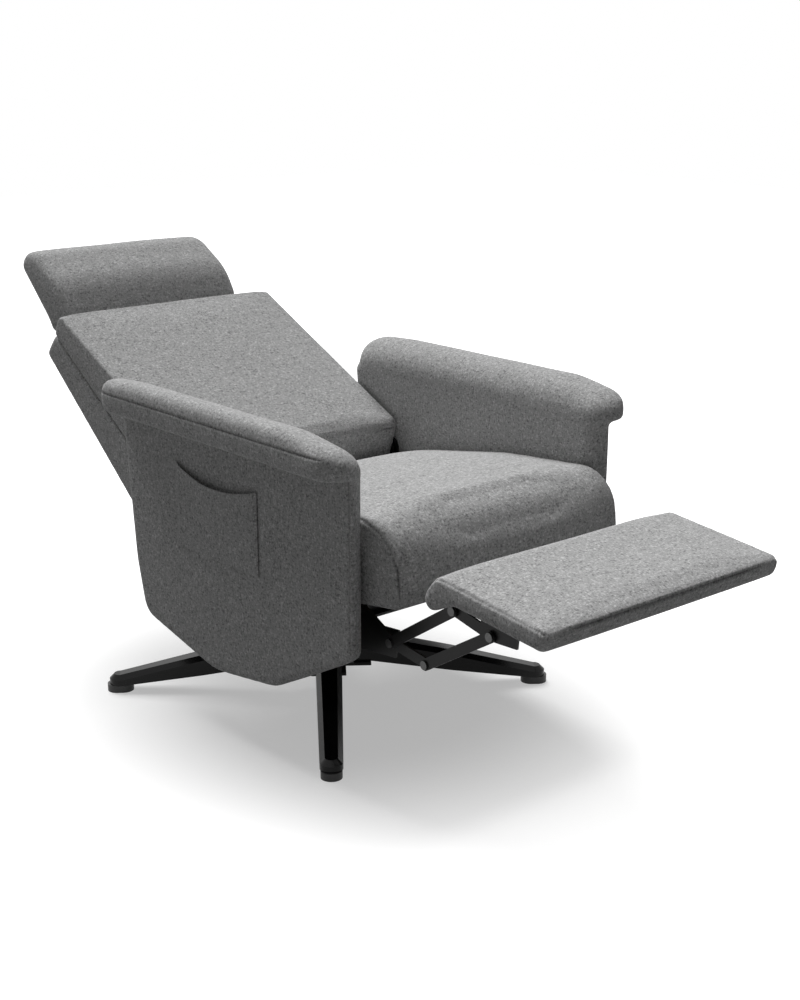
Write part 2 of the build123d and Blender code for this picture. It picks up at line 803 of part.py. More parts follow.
def headrest_section(fullness):
    """Headrest outline in axes along its back, from its hinge."""
    rise = headrest_crown * fullness
    edge = 6.0 * (1 - fullness)
    end = headrest_start + headrest_length
    return [
        (headrest_start + edge / 2, edge / 3 - headrest_rear),
        (end - edge, edge / 3 - headrest_rear),
        (end + 2.0 - edge, headrest_top_thickness - headrest_rear + rise / 2),
        (end - headrest_top_fall - edge, headrest_shoulder_thickness - headrest_rear + rise),
        (headrest_start + headrest_front_reach, headrest_thickness - headrest_rear + rise - edge / 2),
        (headrest_start - 2.0 + edge / 2, headrest_foot_thickness - headrest_rear - edge / 2),
    ]


headrest_radii = [10.0, 20.0, 20.0, 40.0, 60.0, 16.0]
headrest_pad = crowned(headrest_half, headrest_hinge, headrest_angle, headrest_section, headrest_radii)
headrest_room = board(
    -headrest_board_half - soft_gap,
    2 * headrest_board_half + 2 * soft_gap,
    headrest_hinge,
    headrest_angle,
    (headrest_board_start - soft_gap, headrest_board_low - soft_gap),
    (headrest_board_end + soft_gap, headrest_board_low + headrest_board_thickness + soft_gap),
)
headrest_pad = cut(headrest_pad, headrest_room)

headrest_board = board(
    -headrest_board_half,
    2 * headrest_board_half,
    headrest_hinge,
    headrest_angle,
    (headrest_board_start, headrest_board_low),
    (headrest_board_end, headrest_board_low + headrest_board_thickness),
)
save(headrest_board, "headrest_board")

for side, sign in SIDES:
    bracket_x = band(sign, moving_bracket_x, moving_bracket_x + bracket_thickness)
    foot_x = sign * (moving_bracket_x + bracket_thickness / 2) - bracket_foot / 2
    foot_start = headrest_board_start - bracket_foot_thickness
    board_middle = headrest_board_low + headrest_board_thickness / 2
    with BuildPart() as headrest_bracket:
        with BuildSketch(side_plane(bracket_x, headrest_hinge, headrest_angle)):
            with BuildLine():
                Polyline(
                    (headrest_board_start, board_middle - bracket_width / 2),
                    (0.0, -bracket_width / 2),
                    (0.0, bracket_width / 2),
                    (headrest_board_start, board_middle + bracket_width / 2),
                    close=True,
                )
            make_face()
            Circle(bracket_width / 2)
            Circle(headrest_pin_radius + running, mode=Mode.SUBTRACT)
        extrude(amount=bracket_thickness)
        with BuildSketch(side_plane(foot_x, headrest_hinge, headrest_angle)):
            with Locations((headrest_board_start - bracket_foot_thickness / 2, board_middle)):
                Rectangle(bracket_foot_thickness, bracket_width)
        extrude(amount=bracket_foot)
    save(headrest_bracket, f"headrest_bracket_{side}")
    bracket_slot = board(
        bracket_x - 1.0,
        bracket_thickness + 2.0,
        headrest_hinge,
        headrest_angle,
        (-10.0, min(0.0, board_middle) - bracket_width / 2 - 1.0),
        (headrest_board_start, max(0.0, board_middle) + bracket_width / 2 + 1.0),
    )
    bracket_pocket = board(
        foot_x - soft_gap,
        bracket_foot + 2 * soft_gap,
        headrest_hinge,
        headrest_angle,
        (foot_start - soft_gap, board_middle - bracket_width / 2 - soft_gap),
        (headrest_board_start + 1.0, board_middle + bracket_width / 2 + soft_gap),
    )
    headrest_pad = cut(cut(headrest_pad, bracket_slot), bracket_pocket)
save(headrest_pad, "headrest_pad")


# ---------------------------------------------------------------- footrest
def footrest_section(fullness):
    """Footrest pad outline from its rear upper edge, hooked down at the rear."""
    rise = footrest_crown * fullness
    edge = 3.0 * (1 - fullness)
    return [
        (4.0 - edge, rise),
        (footrest_lobe_reach - edge, -0.7 * footrest_lobe_drop),
        (footrest_lobe_reach / 3, -footrest_lobe_drop + edge),
        (-footrest_lobe_reach, -footrest_thickness),
        (-footrest_length + 7.0 + edge, -footrest_thickness),
        (-footrest_length + edge - rise / 3, rise * 0.7),
    ]


footrest_radii = [30.0, 14.0, 9.0, 10.0, 9.0, 12.0]
footrest_pad = crowned(footrest_half, footrest_edge, footrest_angle, footrest_section, footrest_radii)
board_half = footrest_half - footrest_board_inset
footrest_room = board(
    -board_half - soft_gap,
    2 * board_half + 2 * soft_gap,
    footrest_edge,
    footrest_angle,
    (-footrest_board_end - soft_gap, -footrest_thickness - over),
    (-footrest_board_start + soft_gap, -footrest_thickness + footrest_board_thickness + soft_gap),
)
save(cut(footrest_pad, footrest_room), "footrest_pad")

footrest_board = board(
    -board_half,
    2 * board_half,
    footrest_edge,
    footrest_angle,
    (-footrest_board_end, -footrest_thickness),
    (-footrest_board_start, -footrest_thickness + footrest_board_thickness),
)
save(footrest_board, "footrest_board")

rear_local = locate(footrest_edge, footrest_angle, rear_bracket_pivot)
front_local = locate(footrest_edge, footrest_angle, front_bracket_pivot)
footrest_foot_middle = (footrest_foot_start + footrest_foot_end) / 2
for side, sign in SIDES:
    with BuildPart() as footrest_bracket:
        low_x = band(sign, carrier_link_x, carrier_link_x + link_thickness)
        with BuildSketch(side_plane(low_x, footrest_edge, footrest_angle)):
            with Locations(rear_local, front_local):
                Circle(link_radius)
            make_hull()
            with BuildLine():
                Polyline(
                    (-footrest_foot_start, -footrest_thickness),
                    (-footrest_foot_start, rear_local[1] + 2.0),
                    (front_local[0], front_local[1] - link_radius + 1.0),
                    (-footrest_arm_end, front_local[1]),
                    (-footrest_arm_end, front_local[1] + 2 * link_radius),
                    (-footrest_foot_end, -footrest_thickness),
                    close=True,
                )
            make_face()
            with Locations(rear_local, front_local):
                Circle(rivet_radius + snug, mode=Mode.SUBTRACT)
        extrude(amount=link_thickness)
        foot_low = band(sign, carrier_link_x - footrest_foot_width, carrier_link_x)
        with BuildSketch(side_plane(foot_low, footrest_edge, footrest_angle)):
            with Locations((-footrest_foot_middle, -footrest_thickness - bracket_foot_thickness / 2)):
                Rectangle(footrest_foot_end - footrest_foot_start, bracket_foot_thickness)
        extrude(amount=footrest_foot_width)
    save(footrest_bracket, f"footrest_bracket_{side}")

# ---------------------------------------------------------------- footrest linkage
outer_link_x = carrier_link_x + link_thickness + link_gap
for side, sign in SIDES:
    inner_layer = band(sign, carrier_link_x, carrier_link_x + link_thickness)
    outer_layer = band(sign, outer_link_x, outer_link_x + link_thickness)
    own = rivet_radius + snug
    free = rivet_radius + running
    carrier = link(
        inner_layer, (carrier_pivot, crossing_pivot, knee_pivot), (carrier_shaft_radius + snug, own, own)
    )
    save(carrier, f"carrier_link_{side}")
    open_hole = rivet_radius + open_pivot_play
    rear_link = link(outer_layer, (crossing_pivot, rear_bracket_pivot), (free, open_hole))
    save(rear_link, f"rear_link_{side}")
    front_link = link(outer_layer, (knee_pivot, front_bracket_pivot), (free, free))
    save(front_link, f"front_link_{side}")

shaft_half = carrier_link_x + link_thickness
with BuildPart() as carrier_shaft:
    with BuildSketch(side_plane(-shaft_half)):
        with Locations(carrier_pivot):
            Circle(carrier_shaft_radius)
    extrude(amount=2 * shaft_half)
save(carrier_shaft, "carrier_shaft")


def rivets(stations):
    """Headed rivets through both link layers, on both sides."""
    with BuildPart() as group:
        for sign in (-1, 1):
            low = carrier_link_x - soft_gap
            high = outer_link_x + link_thickness + soft_gap
            with BuildSketch(side_plane(band(sign, low, high))):
                with Locations(*stations):
                    Circle(rivet_radius)
            extrude(amount=high - low)
            for start in (low - rivet_head_height, high):
                with BuildSketch(side_plane(band(sign, start, start + rivet_head_height))):
                    with Locations(*stations):
                        Circle(rivet_head_radius)
                extrude(amount=rivet_head_height)
    return group


save(rivets((crossing_pivot, knee_pivot)), "carrier_rivets")
save(rivets((rear_bracket_pivot, front_bracket_pivot)), "footrest_rivets")

# ---------------------------------------------------------------- arms
roll_half_width = (arm_thickness + arm_roll_overhang) / 2
roll_middle = arm_inner + roll_half_width


def roll_section(scale, reach):
    """Arm roll outline across the arm: flat below, crest towards the outside, sloping inwards."""
    half = roll_half_width * scale
    fall = roll_end_fall * (1 - scale)
    low = roll_low + soft_gap + fall * 0.2
    high = roll_high - fall - roll_dip * (1 - reach / roll_dip_reach) ** 1.2
    middle = (low + high) / 2
    return [
        (-half, low),
        (half - 8.0 * scale, low),
        (half, middle),
        (half - 10.0 * scale, high - 13.0 * scale),
        (14.0 * scale, high + 3.0 * scale),
        (22.0 * scale - half, high - 15.0 * scale),
        (-half, middle + 2.0 * scale),
    ]


def arm_roll(sign):
    """Stuffed top of an arm: straight, dipping to a half round at each end."""

    def section_at(y, scale, reach):
        radii = [6.0, 12.0, 28.0, 20.0, 26.0, 40.0, 16.0]
        outline = roll_section(scale, reach)
        flat = Plane(origin=(sign * roll_middle, y, 0), x_dir=(sign, 0, 0), z_dir=(0, -sign, 0))
        with BuildSketch(flat) as section:
            with BuildLine():
                FilletPolyline(*outline, radius=[radius * scale for radius in radii], close=True)
            make_face()
        return section

    turns = [radians(angle) for angle in (14, 30, 50, 70, 90)]
    half_round = [(roll_half_width * (1 - cos(turn)), sin(turn)) for turn in turns]
    dip = [(roll_half_width, 1.0), ((roll_half_width + roll_dip_reach) / 2, 1.0), (roll_dip_reach, 1.0)]
    with BuildPart() as roll:
        straight = section_at(roll_rear - roll_dip_reach, 1.0, roll_dip_reach)
        extrude(straight.sketch, amount=sign * (roll_rear - roll_front - 2 * roll_dip_reach))
        for tip, way in ((roll_front, 1), (roll_rear, -1)):
            for stations in (half_round, dip):
                loft([section_at(tip + way * reach, scale, reach).sketch for reach, scale in stations])
    return roll


def inset_outline(points, inset):
    """The arm's outline drawn in towards its middle by about inset."""
    middle_y = sum(point[0] for point in points) / len(points)
    middle_z = sum(point[1] for point in points) / len(points)
    moved = []
    for y, z in points:
        reach = hypot(y - middle_y, z - middle_z)
        share = 1 - inset * 1.3 / reach
        moved.append((middle_y + (y - middle_y) * share, middle_z + (z - middle_z) * share))
    return moved


board_outline = inset_outline(arm_outline, arm_board_inset)
room_outline = inset_outline(arm_outline, arm_board_inset - 1.0)
for side, sign in SIDES:
    panel_x = band(sign, arm_inner, arm_inner + arm_thickness)
    board_start = arm_inner + (arm_thickness - arm_board_thickness) / 2
    arm_panel = slab(panel_x, arm_thickness, (0, 0), 0, arm_outline, arm_outline_radii)
    board_x = band(sign, board_start, board_start + arm_board_thickness)
    arm_board = slab(board_x, arm_board_thickness, (0, 0), 0, board_outline, 4.0)
    arm_room = slab(board_x - soft_gap, arm_board_thickness + 2 * soft_gap, (0, 0), 0, room_outline, 4.0)
    save(cut(arm_panel, arm_room), f"arm_panel_{side}")
    save(arm_board, f"arm_board_{side}")
    save(arm_roll(sign), f"arm_roll_{side}")

# ---------------------------------------------------------------- side pocket, on the right arm's outer face
pocket_middle = (pocket_front + pocket_rear) / 2
pocket_mouth = [
    (pocket_rear, pocket_top_rear),
    (pocket_middle, pocket_dip),
    (pocket_front, pocket_top_front),
]
with BuildPart() as side_pocket:
    with BuildSketch(side_plane(-arm_inner - arm_thickness - pocket_depth - pocket_sheet)):
        with BuildLine():
            ThreePointArc(*pocket_mouth)
            Polyline(
                pocket_mouth[-1], (pocket_front, pocket_low), (pocket_rear, pocket_low), pocket_mouth[0]
            )
        make_face()
    extrude(amount=pocket_depth + pocket_sheet - soft_gap)
    with BuildSketch(side_plane(-arm_inner - arm_thickness - pocket_depth)):
        with BuildLine():
            Polyline(
                (pocket_front + pocket_sheet, pocket_low + pocket_sheet),
                (pocket_rear - pocket_sheet, pocket_low + pocket_sheet),
                (pocket_rear - pocket_sheet, pocket_top_rear + 10.0),
                (pocket_front + pocket_sheet, pocket_top_rear + 10.0),
                close=True,
            )
        make_face()
    extrude(amount=pocket_depth, mode=Mode.SUBTRACT)
save(side_pocket, "side_pocket")
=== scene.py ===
import bpy
import bmesh
from math import cos, sin, tan, radians, pi
from mathutils import Vector, Matrix, noise
from mathutils.kdtree import KDTree


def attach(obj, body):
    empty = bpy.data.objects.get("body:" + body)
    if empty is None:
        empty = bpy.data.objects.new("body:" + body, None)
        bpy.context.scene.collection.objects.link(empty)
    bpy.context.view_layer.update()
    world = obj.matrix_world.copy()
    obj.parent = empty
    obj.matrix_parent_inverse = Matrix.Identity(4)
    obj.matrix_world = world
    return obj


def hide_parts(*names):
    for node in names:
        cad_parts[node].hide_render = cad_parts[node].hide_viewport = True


# Star base swivel recliner: the upholstery is rebuilt here, the frame and the mechanism are the CAD's.
# Lengths are in millimetres and become metres when a mesh is made. Outlines lie in the side view, as (y, z).

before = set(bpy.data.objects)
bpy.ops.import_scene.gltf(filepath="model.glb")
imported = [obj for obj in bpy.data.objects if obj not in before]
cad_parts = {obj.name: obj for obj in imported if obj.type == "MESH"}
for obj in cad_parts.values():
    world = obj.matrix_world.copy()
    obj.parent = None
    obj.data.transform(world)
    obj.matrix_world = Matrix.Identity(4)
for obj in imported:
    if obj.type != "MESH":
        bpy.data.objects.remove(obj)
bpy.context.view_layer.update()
scene = bpy.context.scene
MM = 0.001
SIDES = (("right", -1), ("left", 1))

# ------------------------------------------------------------------ camera, fitted to the photograph
camera_azimuth, camera_elevation = -40.6443, 16.2304  # degrees
camera_place = (-1.80078, -2.31058, 1.22545)  # metres
camera_lens, camera_sensor = 58.411, 36.0
camera_near = 0.05  # metres


def aim():
    data = bpy.data.cameras.new("camera")
    camera = bpy.data.objects.new("camera", data)
    scene.collection.objects.link(camera)
    a, e = radians(camera_azimuth), radians(camera_elevation)
    back = Vector((sin(a) * cos(e), -cos(a) * cos(e), sin(e)))
    camera.rotation_euler = back.to_track_quat("Z", "Y").to_euler()
    camera.location = camera_place
    data.sensor_width = camera_sensor
    data.lens = camera_lens
    data.clip_start = camera_near
    scene.camera = camera


aim()


# ------------------------------------------------------------------ node materials
class Nodes:
    """Short hand for building one material. Noise sizes are in cells per metre."""

    def __init__(self, name):
        self.material = bpy.data.materials.new(name)
        self.material.use_nodes = True
        self.tree = self.material.node_tree
        self.shader = self.tree.nodes["Principled BSDF"]
        self.coords = self.add("ShaderNodeTexCoord").outputs["Object"]

    def add(self, kind, **values):
        node = self.tree.nodes.new(kind)
        for key, value in values.items():
            setattr(node, key, value)
        return node

    def feed(self, node, socket, value):
        if isinstance(value, bpy.types.NodeSocket):
            self.tree.links.new(value, node.inputs[socket])
        else:
            node.inputs[socket].default_value = value

    def noise(self, size, detail, rough=0.5, scale=(1, 1, 1)):
        stretched = self.add("ShaderNodeMapping")
        self.feed(stretched, "Vector", self.coords)
        self.feed(stretched, "Scale", scale)
        node = self.add("ShaderNodeTexNoise")
        self.feed(node, "Vector", stretched.outputs[0])
        self.feed(node, "Scale", size)
        self.feed(node, "Detail", detail)
        self.feed(node, "Roughness", rough)
        return node.outputs["Fac"]

    def math(self, operation, a, b):
        node = self.add("ShaderNodeMath", operation=operation)
        self.feed(node, 0, a)
        self.feed(node, 1, b)
        return node.outputs[0]

    def blend(self, *parts):
        """Sum of values, each times its own share."""
        total = None
        for value, share in parts:
            part = self.math("MULTIPLY", value, share)
            total = part if total is None else self.math("ADD", total, part)
        return total

    def ramp(self, value, *stops):
        """Grey levels, or colours, at places along a value."""
        node = self.add("ShaderNodeValToRGB")
        elements = node.color_ramp.elements
        while len(elements) < len(stops):
            elements.new(0.5)
        for element, (place, colour) in zip(elements, stops):
            element.position = place
            element.color = (*colour, 1) if isinstance(colour, tuple) else (colour, colour, colour, 1)
        self.feed(node, "Fac", value)
        return node.outputs[0]

    def multiply(self, colour, by):
        factor, first, second, result = 0, 6, 7, 2  # the mix node's colour sockets
        node = self.add("ShaderNodeMix", data_type="RGBA", blend_type="MULTIPLY")
        self.feed(node, factor, 1.0)
        self.feed(node, first, colour)
        self.feed(node, second, by)
        return node.outputs[result]

    def bump(self, height, distance, strength):
        node = self.add("ShaderNodeBump")
        self.feed(node, "Height", height)
        self.feed(node, "Distance", distance)
        self.feed(node, "Strength", strength)
        self.feed(self.shader, "Normal", node.outputs[0])

    def set(self, **values):
        for key, value in values.items():
            self.feed(self.shader, key.replace("_", " "), value)
        return self.material


def fabric(name, dark, middle, light):
    """Heathered plain weave: short dark and light slubs over a fine thread grid, with painted shade along
    the seam grooves.
    """
    n = Nodes(name)
    slub_along, slub_across, thread = 150, 330, 1300.0
    scales = [[slub_along if i == axis else slub_across for i in range(3)] for axis in range(3)]
    slubs = [n.noise(size=1.0, detail=2.0, rough=0.6, scale=scale) for scale in scales]
    streak = n.math("DIVIDE", n.math("ADD", n.math("ADD", slubs[0], slubs[1]), slubs[2]), 3.0)
    patch = n.noise(size=70.0, detail=3.0, rough=0.65)
    heather = n.blend((streak, 0.86), (patch, 0.14))
    colour = n.ramp(heather, (0.42, dark), (0.475, middle), (0.525, middle), (0.585, light))
    threads = n.noise(size=thread, detail=1.0)
    colour = n.multiply(colour, n.ramp(threads, (0.3, 0.82), (0.7, 1.16)))
    # Painted shade: the colour is darkened to 0.35 along the pressed seam grooves, where shade falls.
    seam = n.add("ShaderNodeAttribute", attribute_name="seam").outputs["Fac"]
    colour = n.multiply(colour, n.ramp(seam, (0.05, 1.0), (0.8, 0.35)))
    n.bump(n.blend((streak, 0.7), (threads, 0.3)), distance=0.0009, strength=0.8)
    n.set(Base_Color=colour, Roughness=0.95, Specular_IOR_Level=0.2)
    return n.set(Sheen_Weight=0.08, Sheen_Roughness=0.45)


def coated(name, level, rough, dust, shine):
    """Black coating: slight orange peel, a little unevenness in its gloss."""
    n = Nodes(name)
    wear = n.noise(size=14.0, detail=4.0, rough=0.6)
    colour = n.ramp(wear, (0.3, level), (0.75, level * 1.7))
    gloss = n.math("ADD", n.math("MULTIPLY", wear, dust), rough)
    peel = n.noise(size=420.0, detail=2.0)
    n.bump(peel, distance=0.0002, strength=0.25)
    return n.set(Base_Color=colour, Roughness=gloss, Specular_IOR_Level=shine)


def metal(name, level, rough):
    """Plated metal with fine drawn lines along x."""
    n = Nodes(name)
    lines = n.noise(size=1.0, detail=3.0, rough=0.6, scale=(30, 900, 900))
    colour = n.ramp(lines, (0.3, level * 0.75), (0.7, level * 1.2))
    gloss = n.math("ADD", n.math("MULTIPLY", lines, 0.12), rough)
    n.bump(lines, distance=0.0001, strength=0.3)
    return n.set(Base_Color=colour, Roughness=gloss, Metallic=1.0)


def plastic(name, level):
    """Moulded plastic with fine pores."""
    n = Nodes(name)
    pores = n.noise(size=900.0, detail=2.0)
    colour = n.ramp(pores, (0.3, level * 0.8), (0.7, level * 1.3))
    gloss = n.math("ADD", n.math("MULTIPLY", pores, 0.1), 0.42)
    n.bump(pores, distance=0.0002, strength=0.4)
    return n.set(Base_Color=colour, Roughness=gloss, Specular_IOR_Level=0.5)


def plywood(name, dark, middle, light):
    """Raw wood with its grain along x."""
    n = Nodes(name)
    rings = n.noise(size=1.0, detail=4.0, rough=0.6, scale=(4, 60, 60))
    n.bump(rings, distance=0.0004, strength=0.4)
    return n.set(Base_Color=n.ramp(rings, (0.3, dark), (0.5, middle), (0.7, light)), Roughness=0.7)


def webbing(name, dark, light):
    """Woven strap with fine ribs."""
    n = Nodes(name)
    rib = n.noise(size=1.0, detail=2.0, scale=(800, 60, 800))
    n.bump(rib, distance=0.0006, strength=0.8)
    return n.set(Base_Color=n.ramp(rib, (0.35, dark), (0.65, light)), Roughness=0.9)


cloth = fabric("heathered_grey", dark=0.24, middle=0.44, light=0.66)
gloss_black = coated("gloss_black", level=0.004, rough=0.16, dust=0.06, shine=0.22)
satin_black = coated("satin_black", level=0.007, rough=0.34, dust=0.10, shine=0.14)
dark_zinc = metal("dark_zinc", level=0.07, rough=0.32)
black_plastic = plastic("black_plastic", level=0.018)
raw_wood = plywood("raw_wood", (0.42, 0.29, 0.17), (0.58, 0.43, 0.27), (0.66, 0.51, 0.34))
web = webbing("webbing", dark=0.05, light=0.16)

ZINC = (
    "spindle", "spindle_retainer", "leg_bolts", "plate_bolts",
    "carrier_shaft", "carrier_rivets", "footrest_rivets",
)
SOFT = (
    "seat_cushion", "back_cushion", "back_shell", "headrest_pad",
    "footrest_pad", "arm_panel", "arm_roll", "side_pocket",
)


def paint_of(name):
    """Material of a CAD node, by its name."""
    if name.startswith(("star_leg", "hub")):
        return gloss_black
    if name in ("glides", "thrust_washer"):
        return black_plastic
    if name in ZINC or "pin" in name:
        return dark_zinc
    if "stile" in name or "board" in name or "rail" in name and "cross_rail_" not in name:
        return raw_wood
    if "strap" in name:
        return web
    return cloth if name.startswith(SOFT) else satin_black


for name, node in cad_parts.items():
    node.data.materials.clear()
    node.data.materials.append(paint_of(name))


# ------------------------------------------------------------------ side-view outlines
def turn(origin, angle, points):
    """Points given along and across a slope, put into the side view."""
    c, s = cos(radians(angle)), sin(radians(angle))
    return [(origin[0] + a * c - b * s, origin[1] + a * s + b * c) for a, b in points]


def fillet(points, radii, step=3.0):
    """Closed outline with rounded corners, as dense points."""
    ring = []
    count = len(points)
    for i, radius in enumerate(radii):
        before, here, after = (Vector(points[j % count]) for j in (i - 1, i, i + 1))
        u, v = (before - here).normalized(), (after - here).normalized()
        half = u.angle(v) / 2
        reach = min(radius / tan(half), 0.49 * (before - here).length, 0.49 * (after - here).length)
        radius = reach * tan(half)
        centre = here + (u + v).normalized() * (radius / sin(half))
        first, last = here + u * reach - centre, here + v * reach - centre
        sweep = first.angle_signed(last)
        steps = max(2, int(abs(sweep) * radius / step) + 1)
        for k in range(steps + 1):
            turned = first.copy()
            turned.rotate(Matrix.Rotation(-sweep * k / steps, 2))
            ring.append(centre + turned)
    return ring


def resample(ring, count):
    """The same closed outline with evenly spread points."""
    lengths = [0.0]
    for a, b in zip(ring, ring[1:] + ring[:1]):
        lengths.append(lengths[-1] + (b - a).length)
    result = []
    place = 0
    for i in range(count):
        target = lengths[-1] * i / count
        while lengths[place + 1] < target:
            place += 1
        span = lengths[place + 1] - lengths[place]
        share = (target - lengths[place]) / span if span else 0.0
        result.append(ring[place].lerp(ring[(place + 1) % len(ring)], share))
    return result


def drawn_in(ring, distance, step=1.0):
    """The outline moved inwards, kept smooth on the way."""
    area = sum(a.x * b.y - b.x * a.y for a, b in zip(ring, ring[1:] + ring[:1]))
    way = 1.0 if area > 0 else -1.0
    count = len(ring)
    while distance > 1e-6:
        move = min(step, distance)
        distance -= move
        moved = []
        for i in range(count):
            along = (ring[(i + 1) % count] - ring[i - 1]).normalized()
            moved.append(ring[i] + Vector((-along.y, along.x)) * (way * move))
        ring = [m * 0.7 + (moved[i - 1] + moved[(i + 1) % count]) * 0.15 for i, m in enumerate(moved)]
    return ring


def metres(x, points):
    """Side-view points at one distance from the middle, as 3-D points."""
    return [(x * MM, p[0] * MM, p[1] * MM) for p in points]


def across(point, half):
    """Line across the chair through a side-view point."""
    return metres(-half, [point]) + metres(half, [point])


# ------------------------------------------------------------------ meshes
def new_object(name, bm):
    """Scene object made from a finished bmesh."""
    mesh = bpy.data.meshes.new(name)
    bm.to_mesh(mesh)
    bm.free()
    thing = bpy.data.objects.new(name, mesh)
    scene.collection.objects.link(thing)
    return thing


def skin(name, rings):
    """Closed body through rings of 3-D points in millimetres."""
    bm = bmesh.new()
    rows = [[bm.verts.new(Vector(p) * MM) for p in ring] for ring in rings]
    count = len(rows[0])
    for a, b in zip(rows, rows[1:]):
        for i in range(count):
            j = (i + 1) % count
            bm.faces.new((a[i], a[j], b[j], b[i]))
    caps = [bm.faces.new(rows[0]), bm.faces.new(rows[-1])]
    bmesh.ops.triangulate(bm, faces=caps)
    bmesh.ops.recalc_face_normals(bm, faces=bm.faces)
    return new_object(name, bm)


def stuffed(name, half, section, radii, origin, angle, side_round, bow):
    """Cushion lofted across the chair from its side-view section, with round side edges and bowed sides."""
    count, spans = 260, 14
    flat = half - side_round

    def outline(x):
        fullness = 1 - (x / half) ** 4
        return resample(fillet(turn(origin, angle, section(fullness)), radii), count)

    rings = []
    for k in range(-spans, spans + 1):
        x = flat * (k / spans)
        rings.append([(x, p.x, p.y) for p in outline(x)])
    turns = [radians(t) for t in (18, 36, 54, 72, 90)]
    edge = outline(flat)
    for sign in (-1, 1):
        ends = []
        for t in turns:
            ring = drawn_in(edge, side_round * (1 - cos(t)))
            ends.append([(sign * (flat + side_round * sin(t)), p.x, p.y) for p in ring])
        rim = [Vector(p) for p in ends[-1]]
        middle = sum(rim, Vector()) / count
        for share in (0.8, 0.55, 0.3):
            ring = [middle.lerp(p, share) for p in rim]
            ends.append([(p.x + sign * bow * (1 - share**2), p.y, p.z) for p in ring])
        rings = list(reversed(ends)) + rings if sign < 0 else rings + ends
    return skin(name, rings)


def modified(thing, kind, **values):
    """Apply one modifier to a mesh object."""
    modifier = thing.modifiers.new(kind, kind)
    for key, value in values.items():
        setattr(modifier, key, value)
    graph = bpy.context.evaluated_depsgraph_get()
    mesh = bpy.data.meshes.new_from_object(thing.evaluated_get(graph))
    thing.modifiers.remove(modifier)
    thing.data = mesh


def finer(thing):
    modified(thing, "SUBSURF", levels=1, render_levels=1)


def even(thing, voxel, smooth, out):
    """Even quads all over, by remeshing, smoothed and then pushed out by what smoothing takes off."""
    modified(thing, "REMESH", mode="VOXEL", voxel_size=voxel * MM)
    modified(thing, "SMOOTH", factor=0.5, iterations=smooth)
    normals = [v.normal.copy() for v in thing.data.vertices]
    for v, normal in zip(thing.data.vertices, normals):
        v.co += normal * (out * MM)


def tree_of(lines, step=0.002):
    """Look-up of the nearest point on polylines given in metres."""
    points = []
    for line in lines:
        for a, b in zip(line, line[1:]):
            a, b = Vector(a), Vector(b)
            steps = max(1, int((b - a).length / step))
            points += [a.lerp(b, k / steps) for k in range(steps)]
        points.append(Vector(line[-1]))
    tree = KDTree(len(points))
    for i, p in enumerate(points):
        tree.insert(p, i)
    tree.balance()
    return tree


def inflate(thing, seams, cap, hold):
    """Cloth simulation under inner pressure, held at the seams, with every move capped."""
    frames = 20
    pinned, loosened = 0.005, 0.03  # distances from a seam, in metres
    rest = [v.co.copy() for v in thing.data.vertices]
    group = thing.vertex_groups.new(name="held")
    tree = tree_of(seams)
    free = []
    for v in thing.data.vertices:
        near = tree.find(v.co)[2]
        loose = 0.0 if hold(v.co, v.normal) else min(1.0, near / loosened)
        free.append(loose)
        if near < pinned or loose == 0.0:
            group.add([v.index], 1.0, "REPLACE")
    modifier = thing.modifiers.new("cloth", "CLOTH")
    settings = modifier.settings
    settings.quality = 4
    settings.mass = 0.3
    settings.tension_stiffness = 12
    settings.compression_stiffness = 12
    settings.shear_stiffness = 4
    settings.bending_stiffness = 0.6
    settings.use_pressure = True
    settings.uniform_pressure_force = 4.0
    settings.vertex_group_mass = "held"
    settings.effector_weights.gravity = 0
    modifier.collision_settings.use_collision = False
    modifier.collision_settings.use_self_collision = False
    modifier.point_cache.frame_start = 1
    modifier.point_cache.frame_end = frames
    for frame_number in range(1, frames + 1):
        scene.frame_set(frame_number)
    graph = bpy.context.evaluated_depsgraph_get()
    puffed = [v.co.copy() for v in thing.evaluated_get(graph).to_mesh().vertices]
    thing.modifiers.remove(modifier)
    thing.vertex_groups.remove(group)
    limit = cap * MM
    for v, start, end, loose in zip(thing.data.vertices, rest, puffed, free):
        move = (end - start) * loose
        if move.length > limit:
            move *= limit / move.length
        v.co = start + move
    scene.frame_set(1)


def stitch(thing, lines, depth, width, lip):
    """Press a seam into the surface, with a slight lip on both sides, and mark it for the painted shade that
    the cloth's colour puts in the groove.
    """
    tree = tree_of(lines)
    depth, width, lip = depth * MM, width * MM, lip * MM
    normals = [v.normal.copy() for v in thing.data.vertices]
    # The seam mark carries painted shade: fabric() darkens the colour along it.
    seam = thing.data.attributes.new("seam", "FLOAT", "POINT")
    for v, normal in zip(thing.data.vertices, normals):
        near = tree.find(v.co)[2]
        if near < 3 * width:
            share = near / width
            move = -depth * max(0.0, 1 - share**2) + lip * max(0.0, 1 - (share - 1.6) ** 2 / 1.2)
            v.co += normal * move
            seam.data[v.index].value = max(0.0, 1 - share)


def ripple(thing, size, height, seed):
    """Slow unevenness of stuffing under the cloth."""
    normals = [v.normal.copy() for v in thing.data.vertices]
    for v, normal in zip(thing.data.vertices, normals):
        p = v.co * (1000.0 / size)
        v.co += normal * (noise.noise(p + Vector((seed, seed, seed))) * height * MM)


def cover(thing, body, *nodes):
    """Finish a piece of upholstery: smooth shading, cloth, what it replaces and what it rides on."""
    for polygon in thing.data.polygons:
        polygon.use_smooth = True
    thing.data.materials.clear()
    thing.data.materials.append(cloth)
    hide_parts(*nodes)
    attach(thing, body)


def dress(thing, body, *nodes, fill):
    cover(thing, body, *nodes)


# ------------------------------------------------------------------ seat cushion
seat_heel, seat_pitch, seat_depth, seat_thickness = (70.0, 262.0), 8.5, 583.0, 146.0
seat_half, seat_front_drop = 252.0, 3.0


